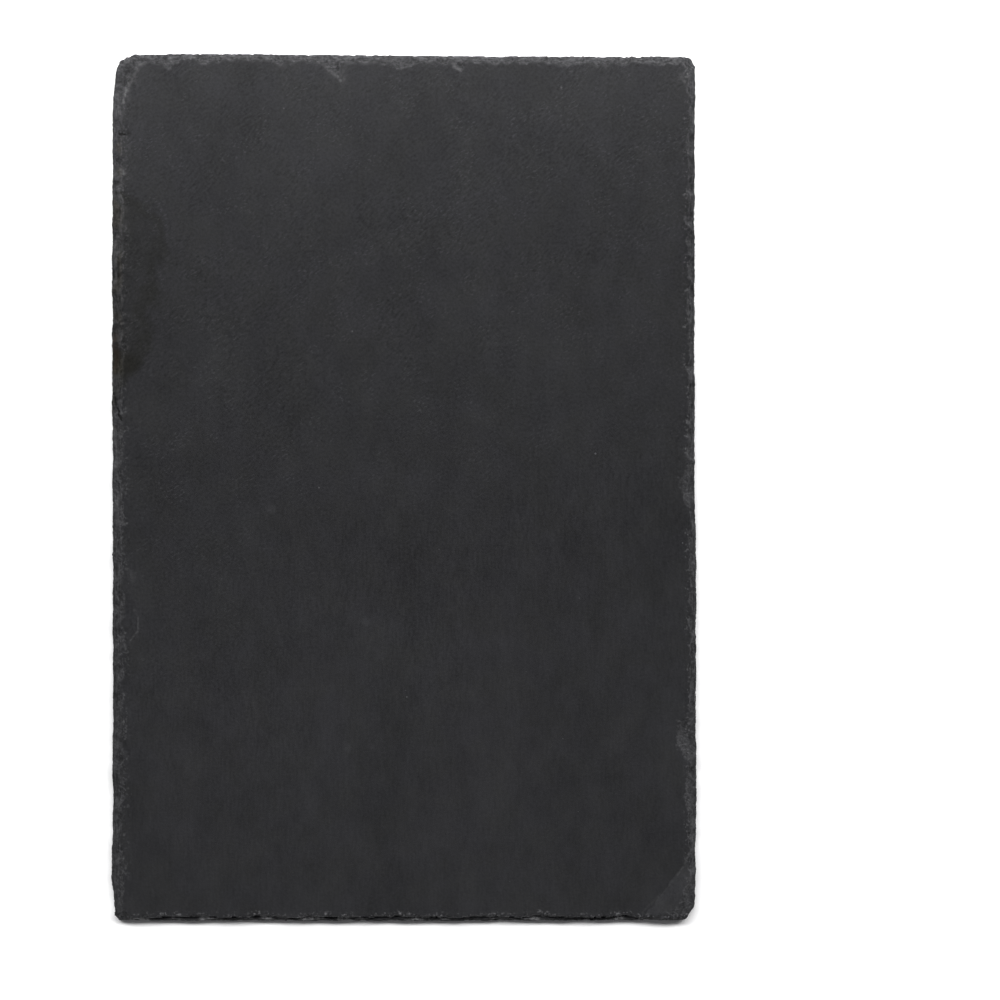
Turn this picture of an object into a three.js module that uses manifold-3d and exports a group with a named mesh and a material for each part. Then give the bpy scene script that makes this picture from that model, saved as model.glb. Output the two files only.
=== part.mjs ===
// A split slate slab with hand-chipped edges, lying flat with its better face up.
// The slab is one stone. Millimetres, +X across, +Y along its length, +Z up, underside on z = 0.

import * as THREE from 'three';
import { mergeVertices } from 'three/addons/utils/BufferGeometryUtils.js';
import Module from 'manifold-3d';

const wasm = await Module();
wasm.setup();

// Driving dimensions
const slabWidth = 203;
const slabLength = 300;
const slabThickness = 6;
const halfWidth = slabWidth / 2;
const halfLength = slabLength / 2;

// The stone splits along flat beds, and each bed breaks off at its own line.
// Each entry has the bed's floor and top, how far its edge stands back, and how far that edge wanders.
const beds = [
  { floor: 0, top: 2.1, back: 0.25, wander: 0.2 },
  { floor: 1.7, top: 3.9, back: 0.6, wander: 0.3 },
  { floor: 3.5, top: slabThickness, back: 0.5, wander: 0.35 },
];
const wanderCycles = [23, 41, 78];
const bedEdgeStep = 5;

// How the chipping hammer left each side: how far a chip reaches in on the face, its depth at the edge,
// its half length, and how many degrees it may turn off the edge's own line
const dressing = {
  top: { reach: [2.5, 3.9], drop: [2.3, 3.3], half: [2.4, 4.6], turn: 14 },
  left: { reach: [3.5, 4.7], drop: [2.2, 3.2], half: [4.5, 9.0], turn: 4 },
  right: { reach: [2.2, 3.6], drop: [2.2, 3.2], half: [3.0, 6.5], turn: 7 },
  bottom: { reach: [1.1, 1.9], drop: [2.6, 3.6], half: [3.0, 7.0], turn: 3 },
};

// A chip's middle lies a little outside the outline and above the face. These are shares of its half
// breadth and depth, and the last is how much of its half length lies between it and the next chip.
const chipOutset = 0.18;
const chipLift = 0.35;
const chipPacking = 0.8;

// The smaller chips along the lower edge: half length, reach and height, and the unbroken run after each
const underHalfLength = [2.6, 6.5];
const underReach = [0.7, 2.0];
const underRise = [0.5, 1.3];
const underGap = [1.0, 9.0];
const underOutset = 0.2;
const underDrop = 0.1;

// Larger scars, each placed by eye: its middle, its half length, half breadth and depth, how far its
// middle stands above the face, and the turn of its length from +X in degrees
const faceScars = [
  { x: -100.6, y: 148.1, along: 12.0, across: 9.5, depth: 3.4, lift: 0.6, turn: 60 },
  { x: -101.0, y: 139.2, along: 7.0, across: 6.0, depth: 3.2, lift: 0.7, turn: 68 },
  { x: -25.6, y: 148.6, along: 8.4, across: 2.5, depth: 2.4, lift: 0.5, turn: 116 },
  { x: -83.4, y: 149.6, along: 6.4, across: 2.0, depth: 2.2, lift: 0.4, turn: 122 },
  { x: 18.6, y: 149.2, along: 5.9, across: 2.3, depth: 2.2, lift: 0.4, turn: 104 },
  { x: 0.5, y: 149.8, along: 6.0, across: 5.4, depth: 2.6, lift: 0.6, turn: 4 },
  { x: 57.5, y: 150.2, along: 5.2, across: 5.2, depth: 2.8, lift: 0.6, turn: 0 },
  { x: 101.6, y: 146.2, along: 8.0, across: 4.4, depth: 3.0, lift: 0.8, turn: 96 },
  { x: 101.8, y: 0.5, along: 9.5, across: 6.2, depth: 2.4, lift: 0.3, turn: 90 },
  { x: 102.0, y: -86.0, along: 10.5, across: 6.8, depth: 2.6, lift: 0.3, turn: 91 },
  { x: 101.8, y: -105.5, along: 9.0, across: 5.2, depth: 2.4, lift: 0.4, turn: 88 },
  { x: 102.6, y: -148.5, along: 25.5, across: 11.5, depth: 0.8, lift: 0.05, turn: 62 },
  { x: 102.2, y: -142.5, along: 12.0, across: 7.2, depth: 2.8, lift: 0.5, turn: 72 },
  { x: 95.0, y: -151.0, along: 15.0, across: 6.2, depth: 1.6, lift: 0.2, turn: 14 },
  { x: -100.6, y: 31.5, along: 9.0, across: 6.6, depth: 1.1, lift: 0.15, turn: 88 },
  { x: -102.3, y: 25.2, along: 4.2, across: 3.6, depth: 4.6, lift: 0.6, turn: 70 },
  { x: -101.4, y: -46.5, along: 13.0, across: 10.2, depth: 0.6, lift: 0.05, turn: 92 },
  { x: -101.6, y: -93.0, along: 9.5, across: 7.0, depth: 1.2, lift: 0.2, turn: 87 },
];
const undersideScars = [
  { x: -70, y: 151.5, along: 21, across: 7.5, depth: 0.7, lift: 0.05, turn: 4 },
  { x: 103, y: 62, along: 17, across: 6.5, depth: 0.8, lift: 0.05, turn: 88 },
  { x: -102.5, y: -88, along: 24, across: 8.0, depth: 0.6, lift: 0.05, turn: 93 },
  { x: 38, y: -151.5, along: 26, across: 9.0, depth: 0.6, lift: 0.05, turn: -3 },
  { x: 100, y: -147, along: 13, across: 8.0, depth: 1.4, lift: 0.1, turn: -40 },
];

// The plan outline, anticlockwise from above. A corner lists its points as distances in from the long
// side and in from the end, and a side lists its points as a place along it and a distance in.
const corners = {
  bottomRight: [[4.2, 0.3], [3.3, 0.8], [2.0, 2.8], [0.8, 4.8], [0.4, 8.7]],
  topRight: [[0.3, 8.9], [0.4, 4.5], [1.2, 3.4], [1.9, 2.0], [3.1, 1.2], [7.5, 1.0]],
  topLeft: [[8.5, 0.3], [5.4, 1.2], [3.2, 2.6], [2.0, 5.0], [1.3, 10.3], [0.7, 15]],
  bottomLeft: [[0.9, 10.5], [1.3, 5.0], [1.5, 1.9], [2.9, 0.2]],
};
const sides = {
  bottom: [[-50, 0.1], [0, 0], [50, 0.15]],
  right: [[-105, 0.05], [-60, 0.2], [-35, 0], [0, 0.6], [60, 0.7], [129, 0.6]],
  top: [[50, 0.9], [10, 0.7], [-30, 0.3], [-70, 0]],
  left: [[100, 0.5], [30, 0.45], [0, 0.6], [-60, 0.7], [-120, 0.6], [-134.5, 0.1]],
};

function outlinePoints() {
  const corner = (list, signX, signY) =>
    list.map(([fromSide, fromEnd]) => [signX * (halfWidth - fromSide), signY * (halfLength - fromEnd)]);
  return [
    ...sides.bottom.map(([x, inward]) => [x, inward - halfLength]),
    ...corner(corners.bottomRight, 1, -1),
    ...sides.right.map(([y, inward]) => [halfWidth - inward, y]),
    ...corner(corners.topRight, 1, 1),
    ...sides.top.map(([x, inward]) => [x, halfLength - inward]),
    ...corner(corners.topLeft, -1, 1),
    ...sides.left.map(([y, inward]) => [inward - halfWidth, y]),
    ...corner(corners.bottomLeft, -1, -1),
  ].map(([x, y]) => new THREE.Vector2(x, y));
}

// The outline as straight runs, with the inward direction at each corner point
const outline = outlinePoints();
const runLengths = outline.map((point, i) => point.distanceTo(outline[(i + 1) % outline.length]));
const perimeter = runLengths.reduce((sum, length) => sum + length, 0);
const inwardAt = outline.map((point, i) => {
  const before = outline.at(i - 1);
  const after = outline[(i + 1) % outline.length];
  const into = point.clone().sub(before).normalize();
  const out = after.clone().sub(point).normalize();
  const ahead = into.add(out).normalize();
  return new THREE.Vector2(-ahead.y, ahead.x);
});

// A place on the outline, a distance round it, and the inward direction there
function onOutline(distance) {
  let left = ((distance % perimeter) + perimeter) % perimeter;
  let run = 0;
  while (left > runLengths[run] && run < runLengths.length - 1) {
    left -= runLengths[run];
    run += 1;
  }
  const next = (run + 1) % outline.length;
  const part = left / runLengths[run];
  return {
    place: outline[run].clone().lerp(outline[next], part),
    inward: inwardAt[run].clone().lerp(inwardAt[next], part).normalize(),
  };
}

// A steady sequence of chance values, the same on every run
let chance = 20;
function random() {
  chance = (chance * 1664525 + 1013904223) % 4294967296;
  return chance / 4294967296;
}

function between([low, high]) {
  return low + (high - low) * random();
}

// One bed: the outline moved in by the bed's set-back and its own slow wander, and given its thickness
function makeBed({ floor, top, back, wander }) {
  const phases = wanderCycles.map(() => random() * 2 * Math.PI);
  const count = Math.round(perimeter / bedEdgeStep);
  const edge = [];
  for (let i = 0; i < count; i += 1) {
    const distance = (i / count) * perimeter;
    const { place, inward } = onOutline(distance);
    const waves = wanderCycles.map((cycles, k) => Math.sin((2 * Math.PI * cycles * i) / count + phases[k]));
    const wave = waves.reduce((sum, value) => sum + value, 0) / wanderCycles.length;
    edge.push(place.addScaledVector(inward, back + wander * wave));
  }
  const settings = { depth: top - floor, bevelEnabled: false };
  const geometry = new THREE.ExtrudeGeometry(new THREE.Shape(edge), settings);
  geometry.translate(0, 0, floor);
  return geometry;
}

// A chip is the hollow left by a flat round flake, so its cutter is a squashed ball. The many small chips
// are cut with a plain twenty-sided ball, and the large ones with a finer ball. Both are a little over size,
// so that their flats lie where a round ball's surface would. Each small ball is rolled on from the one
// before by the golden angle, so that no two neighbours show the same facets.
const smallBall = new THREE.IcosahedronGeometry(1.1, 0);
const largeBall = new THREE.IcosahedronGeometry(1.04, 1);
const goldenAngle = Math.PI * (3 - Math.sqrt(5));

function makeCutter({ x, y, z, along, across, depth, turn }, ball, roll = 0) {
  const geometry = ball.clone();
  geometry.rotateZ(roll);
  geometry.scale(along, across, depth);
  geometry.rotateZ(THREE.MathUtils.degToRad(turn));
  geometry.translate(x, y, z);
  return geometry;
}

// The side of the slab that a place on its outline belongs to
function sideOf(place) {
  const fromLongSide = halfWidth - Math.abs(place.x);
  const fromEnd = halfLength - Math.abs(place.y);
  if (fromEnd < fromLongSide) {
    return place.y > 0 ? 'top' : 'bottom';
  }
  return place.x > 0 ? 'right' : 'left';
}

// The turn from +X, in degrees, of a length that lies along the edge
function turnAlong(inward) {
  return THREE.MathUtils.radToDeg(Math.atan2(-inward.x, inward.y));
}

// The chips along the upper edge. Each one overlaps the next, so their rims meet in small points.
function upperChips() {
  const chips = [];
  let distance = 0;
  while (distance < perimeter) {
    const side = dressing[sideOf(onOutline(distance).place)];
    const along = between(side.half);
    distance += along * chipPacking;
    const { place, inward } = onOutline(distance);
    const rim = between(side.reach);
    const depth = between(side.drop) / (Math.sqrt(1 - chipOutset ** 2) - chipLift);
    const across = rim / (Math.sqrt(1 - chipLift ** 2) - chipOutset);
    const turn = turnAlong(inward) + between([-side.turn, side.turn]);
    place.addScaledVector(inward, -chipOutset * across);
    chips.push({ x: place.x, y: place.y, z: slabThickness + chipLift * depth, along, across, depth, turn });
    distance += along * chipPacking;
  }
  return chips;
}

// The smaller chips along the lower edge, with unbroken stretches between them
function lowerChips() {
  const chips = [];
  let distance = 0;
  while (distance < perimeter) {
    const along = between(underHalfLength);
    distance += along;
    const { place, inward } = onOutline(distance);
    const across = between(underReach) / (1 - underOutset);
    const depth = between(underRise) + underDrop;
    const turn = turnAlong(inward);
    place.addScaledVector(inward, -underOutset * across);
    chips.push({ x: place.x, y: place.y, z: -underDrop, along, across, depth, turn });
    distance += along + between(underGap);
  }
  return chips;
}

const onFace = (scar) => ({ ...scar, z: slabThickness + scar.lift });
const onUnderside = (scar) => ({ ...scar, z: -scar.lift });

// Corners of a shape that lie closer than this are one corner
const sameCorner = 1e-4;

function toSolid(geometry) {
  const bare = geometry.clone();
  bare.deleteAttribute('normal');
  bare.deleteAttribute('uv');
  const merged = mergeVertices(bare, sameCorner);
  const vertProperties = new Float32Array(merged.attributes.position.array);
  const triVerts = new Uint32Array(merged.index.array);
  return new wasm.Manifold(new wasm.Mesh({ numProp: 3, vertProperties, triVerts }));
}

function toGeometry(solid) {
  const { vertProperties, triVerts } = solid.getMesh();
  const geometry = new THREE.BufferGeometry();
  geometry.setAttribute('position', new THREE.BufferAttribute(vertProperties, 3));
  geometry.setIndex(new THREE.BufferAttribute(triVerts, 1));
  return geometry;
}

function makeSlab() {
  const stone = beds.map((bed) => toSolid(makeBed(bed))).reduce((whole, bed) => whole.add(bed));
  const small = [...upperChips(), ...lowerChips()];
  const large = [...faceScars.map(onFace), ...undersideScars.map(onUnderside)];
  const cutters = [
    ...small.map((chip, i) => makeCutter(chip, smallBall, i * goldenAngle)),
    ...large.map((scar) => makeCutter(scar, largeBall)),
  ];
  const cut = cutters.reduce((whole, cutter) => whole.subtract(toSolid(cutter)), stone);
  const geometry = toGeometry(cut);
  geometry.computeBoundingBox();
  const middle = geometry.boundingBox.getCenter(new THREE.Vector3());
  geometry.translate(-middle.x, -middle.y, -geometry.boundingBox.min.z);
  geometry.computeVertexNormals();
  return geometry;
}

const slate = new THREE.MeshStandardMaterial({
  color: 0x3b3c40,
  roughness: 0.75,
  metalness: 0,
  flatShading: true,
});

const slab = new THREE.Mesh(makeSlab(), slate);
slab.name = 'slate_slab';

const part = new THREE.Group();
part.add(slab);

export default part;
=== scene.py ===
import math

import bmesh
import bpy
import numpy as np
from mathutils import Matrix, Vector, noise


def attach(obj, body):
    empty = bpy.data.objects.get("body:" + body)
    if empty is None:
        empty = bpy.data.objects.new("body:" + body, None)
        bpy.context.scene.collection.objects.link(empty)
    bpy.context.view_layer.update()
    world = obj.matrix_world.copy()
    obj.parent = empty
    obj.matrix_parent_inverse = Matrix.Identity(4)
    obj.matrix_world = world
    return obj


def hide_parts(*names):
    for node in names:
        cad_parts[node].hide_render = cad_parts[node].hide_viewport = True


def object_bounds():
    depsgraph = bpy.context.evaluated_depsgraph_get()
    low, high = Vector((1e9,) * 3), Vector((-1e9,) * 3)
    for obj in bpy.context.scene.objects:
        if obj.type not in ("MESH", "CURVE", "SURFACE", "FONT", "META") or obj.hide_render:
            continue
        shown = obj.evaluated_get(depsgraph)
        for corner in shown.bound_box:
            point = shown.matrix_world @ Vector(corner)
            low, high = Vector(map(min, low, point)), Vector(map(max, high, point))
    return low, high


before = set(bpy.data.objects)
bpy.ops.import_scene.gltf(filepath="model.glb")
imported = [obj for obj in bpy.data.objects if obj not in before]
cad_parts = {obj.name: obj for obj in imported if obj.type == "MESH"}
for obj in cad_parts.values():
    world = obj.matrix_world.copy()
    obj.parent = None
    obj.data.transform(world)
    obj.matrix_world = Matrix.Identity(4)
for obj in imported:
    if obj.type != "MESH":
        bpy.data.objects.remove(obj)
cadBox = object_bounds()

mm = 0.001
hair = 1e-3                 # heights and places this near each other are the same, in mm

# Everything below is thought of in millimetres and turned into metres when the mesh is written.
# The outline, the beds and the chips are the solid's own, so the dressed stone breaks where it does.

slabValues = {
    "width": 203.0,
    "length": 300.0,
    "thickness": 6.0,
    "cell": 2.5,            # size of the faces in the middle of the slab
    "edgeBand": 5.2,        # how far in from the edge the faces are fine
    "underBand": 2.6,
    "edgeCuts": 5,          # cuts that make a cell fine
    "wallRows": 2,
    "warpReach": 12.0,      # how far in the blunt corners bend the grid
    "faceDip": 0.14,        # the split face lies up to this much below its highest point
    "underDip": 0.16,
    "dipFade": 3.0,         # the dip of the face grows over this breadth in from the edge
    "leastBack": 0.02,      # the side walls stay at least this far inside the outline
    "wallGone": 1.5,        # the side walls count as broken at least this deep
    "smoothAngle": 50,
    "thinnest": 0.9,        # the least that chips from both sides leave between them
    "tuck": (0.25, 0.25),   # the lowest arris is rubbed off: how far in, and over what share of the height
}

outlineCorners = {          # in from the long side, in from the end
    "bottomRight": [(4.2, 0.3), (3.3, 0.8), (2.0, 2.8), (0.8, 4.8), (0.4, 8.7)],
    "topRight": [(0.3, 8.9), (0.4, 4.5), (1.2, 3.4), (1.9, 2.0), (3.1, 1.2), (7.5, 1.0)],
    "topLeft": [(8.5, 0.3), (5.4, 1.2), (3.2, 2.6), (2.0, 5.0), (1.3, 10.3), (0.7, 15)],
    "bottomLeft": [(0.9, 10.5), (1.3, 5.0), (1.5, 1.9), (2.9, 0.2)],
}
outlineSides = {            # place along the side, distance in
    "bottom": [(-50, 0.1), (0, 0), (50, 0.15)],
    "right": [(-105, 0.05), (-60, 0.2), (-35, 0), (0, 0.6), (60, 0.7), (129, 0.6)],
    "top": [(50, 0.9), (10, 0.7), (-30, 0.3), (-70, 0)],
    "left": [(100, 0.5), (30, 0.45), (0, 0.6), (-60, 0.7), (-120, 0.6), (-134.5, 0.1)],
}

bedValues = {
    "beds": [(0.0, 0.25, 0.2), (2.1, 0.6, 0.3), (3.9, 0.5, 0.35)],    # floor, set back, wander
    "cycles": [23, 41, 78],
    "ledge": 0.12,          # height over which one bed gives way to the next
    "layer": 0.36,          # thickness of the thin layers that show at the sides
    "layerWander": {"top": 0.70, "left": 0.24, "right": 0.30, "bottom": 0.45},
    "layerApart": 40.0,     # apart in the noise, so that each layer has an edge of its own
    "step": 0.62,           # height of the small steps that the chips leave
    "stepSharpness": {"top": 0.22, "left": 0.42, "right": 0.34, "bottom": 0.30},
    "scarSharpness": 0.15,
    "underStep": (0.5, 0.5),        # their height and sharpness under the slab
    "lip": 2.3,             # along the near end the lowest bed sticks out this far below the face
    "lipBreadth": 1.35,
    "lipFrom": -97.0,
    "lipTo": 86.0,
    "lipTaper": 10.0,
    "riser": 0.3,           # breadth of the step down to it
    "lipFall": (0.9, 0.3),  # beyond this breadth it falls away outwards, by this much a mm
    "sliver": 2.1,          # painted highlight: how brightly its thin edge is painted, as if catching the light
    "crevice": 0.5,         # an open gap between the beds runs along its foot
    "creviceReach": 0.20,
    "ribSlant": 0.6,        # how fast the torn ribs follow one another down the side
}
roughLayers = {             # layers of noise: size of a lump in mm, its height or weight, and a seed
    "layerBend": [(14.0, 0.25, 3)],
    "layerEdge": [(4.5, 0.6, 5), (1.9, 1.0, 7)],
    "layerGrain": [(0.9, 0.09, 6)],
    "wanderX": [(3.4, 0.85, 1), (1.25, 0.45, 11), (0.7, 0.16, 13)],
    "wanderY": [(3.4, 0.85, 2), (1.25, 0.45, 12), (0.7, 0.16, 14)],
    "ledges": [(7.0, 0.5, 23), (1.8, 0.22, 24)],
    "crumbs": [(1.3, 0.14, 21), (0.55, 0.08, 22)],
    "lip": [(8.0, 0.9, 51), (1.6, 0.6, 52)],
    "crevice": [(3.8, 1.0, 53)],
    "sliver": [(5.6, 5.0, 54)],
    "bandReach": [(4.0, 1.0, 61)],
    "bandDepth": [(6.0, 0.8, 62)],
    "faceSwell": [(60.0, 0.3, 31), (22.0, 0.15, 32), (6.0, 0.08, 33)],
    "underSwell": [(45.0, 1.0, 41), (13.0, 0.5, 42)],
}
brokenBands = {             # between its chips the arris is broken too: reach in, wander, depth
    "top": (1.9, 1.5, 1.2),
    "left": (3.9, 2.0, 1.7),
    "right": (2.0, 1.5, 1.3),
    "bottom": (0.5, 0.6, 0.5),
}
crumbBands = {              # how far in from each edge loose bright grains lie: from, to, strength
    "top": (0.0, 0.1, 0.0),
    "left": (2.8, 6.2, 0.42),
    "right": (1.6, 4.4, 0.66),
    "bottom": (0.0, 1.9, 1.8),      # here from the foot of the lip
}
crumbFade = (0.8, 1.2)      # how softly these bands begin and end

chipValues = {
    "dressing": {           # how far a chip reaches in, its depth at the edge, half length and turn
        "top": {"reach": (2.5, 3.9), "drop": (2.3, 3.3), "half": (2.4, 4.6), "turn": 14},
        "left": {"reach": (3.5, 4.7), "drop": (2.2, 3.2), "half": (4.5, 9.0), "turn": 4},
        "right": {"reach": (2.2, 3.6), "drop": (2.2, 3.2), "half": (3.0, 6.5), "turn": 7},
        "bottom": {"reach": (1.1, 1.9), "drop": (2.6, 3.6), "half": (3.0, 7.0), "turn": 3},
    },
    "straight": 0.7,        # 0 is a round hollow, 1 a straight flank
    "flakeDepth": 1.3,      # shallower scars are flakes, with a flat floor and a sharp rim
    "outset": 0.18,
    "lift": 0.35,
    "packing": 0.8,
    "underHalfLength": (2.6, 6.5),
    "underReach": (0.7, 2.0),
    "underRise": (0.5, 1.3),
    "underGap": (1.0, 9.0),
    "underOutset": 0.2,
    "underDrop": 0.1,
    "nickHalfLength": (0.7, 1.9),       # the small nicks between and over the chips
    "nickSlimness": (0.35, 0.75),
    "nickReach": (0.75, 1.35),          # as a share of the side's shortest reach
    "nickDepth": (0.25, 0.65),
    "nickTurn": 40,
    "nickGap": (0.6, 3.2),              # as a share of its half length
}

# x, y, half length, half breadth, depth, lift above the face, turn
faceScars = [
    (-100.6, 148.1, 12.0, 9.5, 3.4, 0.6, 60),
    (-101.0, 139.2, 7.0, 6.0, 3.2, 0.7, 68),
    (-25.6, 148.6, 8.4, 2.5, 2.4, 0.5, 116),
    (-83.4, 149.6, 6.4, 2.0, 2.2, 0.4, 122),
    (18.6, 149.2, 5.9, 2.3, 2.2, 0.4, 104),
    (0.5, 149.8, 6.0, 5.4, 2.6, 0.6, 4),
    (57.5, 150.2, 5.2, 5.2, 2.8, 0.6, 0),
    (101.6, 146.2, 8.0, 4.4, 3.0, 0.8, 96),
    (101.8, 0.5, 9.5, 6.2, 2.4, 0.3, 90),
    (102.0, -86.0, 10.5, 6.8, 2.6, 0.3, 91),
    (101.8, -105.5, 9.0, 5.2, 2.4, 0.4, 88),
    (102.6, -148.5, 45.0, 16.0, 0.8, 0.05, 52),
    (102.2, -142.5, 12.0, 7.2, 2.8, 0.5, 72),
    (95.0, -151.0, 15.0, 6.2, 1.6, 0.2, 14),
    (-100.6, 31.5, 9.0, 6.6, 1.1, 0.15, 88),
    (-102.3, 25.2, 4.2, 3.6, 4.6, 0.6, 70),
    (-101.4, -46.5, 13.0, 10.2, 0.6, 0.05, 92),
    (-101.6, -93.0, 9.5, 7.0, 1.2, 0.2, 87),
]
shallowFlakes = [           # too low for the solid
    (-101.2, 94.8, 8.6, 7.6, 0.5, 0.05, 91),
]
undersideScars = [
    (-70, 151.5, 21, 7.5, 0.7, 0.05, 4),
    (103, 62, 17, 6.5, 0.8, 0.05, 88),
    (-102.5, -88, 24, 8.0, 0.6, 0.05, 93),
    (38, -151.5, 26, 9.0, 0.6, 0.05, -3),
    (100, -147, 13, 8.0, 1.4, 0.1, -40),
]
cracks = [                  # from, to, half width, depth
    ((-98.2, 122.0), (-96.1, 121.7), 0.45, 0.9),
    ((-96.1, 121.7), (-94.4, 121.9), 0.28, 0.5),
    ((-97.8, 119.8), (-97.0, 119.5), 0.32, 0.5),
    ((-99.5, 139.7), (-97.7, 139.9), 0.30, 0.5),
    ((-98.2, 96.4), (-98.0, 93.6), 0.36, 0.5),
    ((-99.4, 89.3), (-99.0, 89.1), 0.42, 0.6),
    ((-100.8, 38.5), (-100.4, 32.5), 0.45, 0.9),
    ((-100.4, 32.5), (-97.4, 22.9), 0.40, 0.9),
]
litRims = [                 # freshly broken rims, partly pale fresh stone and partly a painted highlight where they catch the light: from, to, half width, strength
    ((-90.5, 147.0), (-94.2, 140.4), 0.9, 0.46),
    ((-94.2, 140.4), (-96.2, 137.4), 0.8, 0.6),
    ((-96.2, 137.4), (-97.0, 133.2), 0.8, 1.0),
    ((-98.6, 145.6), (-94.6, 148.0), 0.9, 0.42),
    ((-99.6, 135.5), (-98.4, 129.5), 1.0, 0.35),
    ((-97.2, 109.6), (-96.9, 108.4), 0.6, 0.9),
    ((-98.4, 110.8), (-97.6, 104.6), 0.6, 0.4),
    ((-98.6, 102.0), (-95.4, 94.0), 0.5, 0.30),
    ((-95.4, 94.0), (-96.6, 88.6), 0.5, 0.30),
    ((-98.8, 100.0), (-97.8, 90.0), 2.4, 0.16),
    ((-100.2, 85.0), (-99.8, 71.5), 0.8, 0.55),
    ((-99.4, 86.8), (-99.2, 86.4), 0.5, 0.9),
    ((-100.2, 19.0), (-99.2, 3.5), 0.9, 0.45),
    ((-99.6, -4.0), (-98.9, -11.8), 0.9, 0.40),
    ((-96.4, -27.8), (-92.6, -32.4), 0.45, 0.30),
    ((-93.6, -42.4), (-91.8, -44.8), 0.45, 0.45),
    ((-91.8, -44.8), (-92.0, -49.8), 0.45, 0.55),
    ((-92.0, -49.8), (-95.0, -53.4), 0.45, 0.45),
    ((-100.2, -50.0), (-97.8, -52.4), 0.45, 0.6),
    ((-97.8, -52.4), (-96.2, -56.2), 0.45, 0.6),
    ((99.2, -126.2), (95.0, -134.0), 0.40, 0.50),
    ((95.0, -134.0), (89.2, -140.2), 0.50, 0.16),
    ((89.2, -140.2), (82.4, -147.6), 0.60, 0.20),
    ((100.6, -124.0), (100.2, -112.0), 0.6, 0.7),
    ((100.2, -131.0), (98.0, -141.0), 1.4, 0.30),
    ((-27.6, 146.4), (-22.0, 141.6), 0.8, 0.55),
    ((-22.2, 141.9), (-21.4, 140.8), 0.8, 0.8),
    ((-20.0, 146.0), (-21.2, 142.4), 1.0, 0.25),
    ((16.4, 147.2), (18.0, 145.8), 0.9, 0.40),
    ((18.0, 145.8), (19.7, 144.4), 0.6, 0.60),
    ((96.0, 143.0), (98.2, 139.0), 0.9, 0.5),
]


# the outline, anticlockwise from above
def makeOutline():
    halfWidth = slabValues["width"] / 2
    halfLength = slabValues["length"] / 2

    def corner(name, signX, signY):
        return [(signX * (halfWidth - a), signY * (halfLength - b)) for a, b in outlineCorners[name]]

    points = [(x, inward - halfLength) for x, inward in outlineSides["bottom"]]
    points += corner("bottomRight", 1, -1)
    points += [(halfWidth - inward, y) for y, inward in outlineSides["right"]]
    points += corner("topRight", 1, 1)
    points += [(x, halfLength - inward) for x, inward in outlineSides["top"]]
    points += corner("topLeft", -1, 1)
    points += [(inward - halfWidth, y) for y, inward in outlineSides["left"]]
    points += corner("bottomLeft", -1, -1)
    return np.array(points, dtype=float)


outline = makeOutline()
runs = np.roll(outline, -1, axis=0) - outline
runLengths = np.linalg.norm(runs, axis=1)
runStarts = np.concatenate([[0.0], np.cumsum(runLengths)[:-1]])
perimeter = runLengths.sum()
headings = runs / runLengths[:, None]
aheadAt = np.roll(headings, 1, axis=0) + headings
aheadAt /= np.linalg.norm(aheadAt, axis=1)[:, None]
inwardAt = np.stack([-aheadAt[:, 1], aheadAt[:, 0]], axis=1)


def onOutline(distance):    # a place on the outline and the inward direction there
    distance = distance % perimeter
    run = int(np.searchsorted(runStarts, distance, side="right")) - 1
    after = (run + 1) % len(outline)
    part = (distance - runStarts[run]) / runLengths[run]
    place = outline[run] * (1 - part) + outline[after] * part
    inward = inwardAt[run] * (1 - part) + inwardAt[after] * part
    return place, inward / np.linalg.norm(inward)


def nearestOnOutline(points):    # for many points: nearest place, inward direction, distance round
    count = len(points)
    best = np.full(count, np.inf)
    places = np.zeros((count, 2))
    inwards = np.zeros((count, 2))
    rounds = np.zeros(count)
    for run in range(len(outline)):
        after = (run + 1) % len(outline)
        part = np.clip((points - outline[run]) @ runs[run] / runLengths[run] ** 2, 0, 1)
        place = outline[run] + part[:, None] * runs[run]
        gap = np.sum((points - place) ** 2, axis=1)
        closer = gap < best
        best[closer] = gap[closer]
        places[closer] = place[closer]
        inward = inwardAt[run] * (1 - part)[:, None] + inwardAt[after] * part[:, None]
        inwards[closer] = inward[closer]
        rounds[closer] = runStarts[run] + part[closer] * runLengths[run]
    inwards /= np.linalg.norm(inwards, axis=1)[:, None]
    return places, inwards, rounds


def sideOf(place):
    fromLongSide = slabValues["width"] / 2 - abs(place[0])
    fromEnd = slabValues["length"] / 2 - abs(place[1])
    if fromEnd < fromLongSide:
        return "top" if place[1] > 0 else "bottom"
    return "right" if place[0] > 0 else "left"


class Chance:    # the same steady sequence of chance values as the solid uses
    def __init__(self, seed):
        self.state = seed

    def value(self):
        self.state = (self.state * 1664525 + 1013904223) % 4294967296
        return self.state / 4294967296

    def between(self, span):
        return span[0] + (span[1] - span[0]) * self.value()


def bySide(places, values):    # each place's value, by the side that it is on
    return np.array([values[sideOf(place)] for place in places])


def turnAlong(inward):
    return math.degrees(math.atan2(-inward[0], inward[1]))


def makeUpperChips(chance):
    chips = []
    distance = 0.0
    outset = chipValues["outset"]
    lift = chipValues["lift"]
    while distance < perimeter:
        side = chipValues["dressing"][sideOf(onOutline(distance)[0])]
        along = chance.between(side["half"])
        distance += along * chipValues["packing"]
        place, inward = onOutline(distance)
        rim = chance.between(side["reach"])
        depth = chance.between(side["drop"]) / (math.sqrt(1 - outset ** 2) - lift)
        across = rim / (math.sqrt(1 - lift ** 2) - outset)
        turn = turnAlong(inward) + chance.between((-side["turn"], side["turn"]))
        x, y = place - inward * outset * across
        chips.append((x, y, along, across, depth, lift * depth, turn))
        distance += along * chipValues["packing"]
    return chips


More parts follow.
